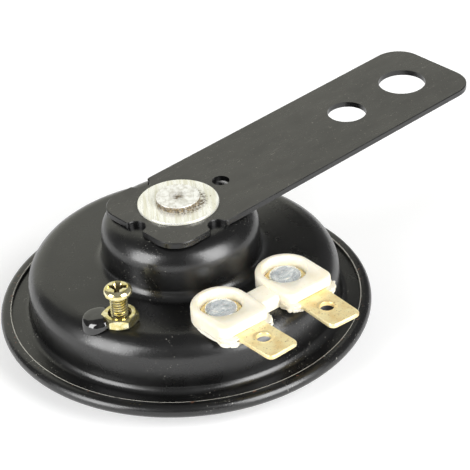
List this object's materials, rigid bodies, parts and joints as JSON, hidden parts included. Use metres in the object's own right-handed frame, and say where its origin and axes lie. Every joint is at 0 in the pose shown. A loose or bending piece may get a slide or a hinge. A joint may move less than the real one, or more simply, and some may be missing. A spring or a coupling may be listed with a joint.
{
  "type": "car horn",
  "caption": "Round electromagnetic disc horn: pressed shell with crimped front cover, flat strap bracket, blade terminals and a locked adjusting screw.",
  "frame": {"origin": "centre of the front cover's outer face, which the horn rests on", "axes": "+Z along the horn's axis towards the bracket, +X along the bracket"},
  "size_m": [0.0975, 0.0686, 0.0269],
  "materials": {
    "black_paint": "satin black stoving paint on pressed steel",
    "bracket_paint": "satin grey-black paint on sheared steel",
    "zinc_plate": "zinc plate with rust stains",
    "stud_zinc": "zinc plate, peened end with rust at its foot",
    "cream_nylon": "natural cream nylon",
    "tab_brass": "stamped brass with tarnish",
    "rivet_zinc": "bluish zinc plate",
    "yellow_zinc": "yellow-passivated zinc plate",
    "black_lacquer": "glossy black sealing lacquer",
    "spring_steel": "rolled spring steel",
    "gasket_paper": "impregnated gasket paper",
    "black_nylon": "moulded black nylon",
    "enamelled_copper": "wound enamelled copper wire",
    "plain_steel": "turned and stamped mild steel",
    "brown_fibre": "brown laminated fibre",
    "spring_brass": "rolled spring bronze",
    "contact_metal": "hard contact metal"
  },
  "bodies": {
    "horn": {"rear_housing": "black_paint", "front_cover": "black_paint", "mounting_bracket": "bracket_paint", "bracket_washer": "zinc_plate", "core_stud": "stud_zinc", "terminal_block": "cream_nylon", "terminal_tab_left": "tab_brass", "terminal_tab_right": "tab_brass", "terminal_rivet_left": "rivet_zinc", "terminal_rivet_right": "rivet_zinc", "adjusting_screw": "yellow_zinc", "lock_nut": "yellow_zinc", "sealing_lacquer": "black_lacquer", "diaphragm": "spring_steel", "diaphragm_gasket": "gasket_paper", "coil_bobbin": "black_nylon", "coil_winding": "enamelled_copper", "insulator_plate": "brown_fibre", "fixed_contact": "contact_metal", "contact_strip": "plain_steel", "contact_spacer": "brown_fibre", "adjuster_pad": "brown_fibre", "solder_lug": "tab_brass"},
    "armature_group": {"armature": "plain_steel", "diaphragm_spacer": "plain_steel", "tone_disc": "spring_steel", "hub_washer": "plain_steel"},
    "contact_group": {"contact_arm": "spring_brass", "moving_contact": "contact_metal", "striker": "brown_fibre"}
  },
  "joints": [
    {"name": "armature_stroke", "type": "slide", "parent": "horn", "child": "armature_group", "axis": [0, 0, 1], "range_m": [0, 0.0005], "stiffness_N_per_m": 20000, "deforming": ["diaphragm"]},
    {"name": "contact_flex", "type": "hinge", "parent": "horn", "child": "contact_group", "pos_m": [-0.00825, -0.0188, 0.01095], "axis": [0.5816, 0.8135, 0], "range_deg": [0, 1.3], "deforming": ["contact_arm"]}
  ],
  "couplings": [
    {"joint": "contact_flex", "follows": "armature_stroke", "rad_per_m": 42.98}
  ]
}
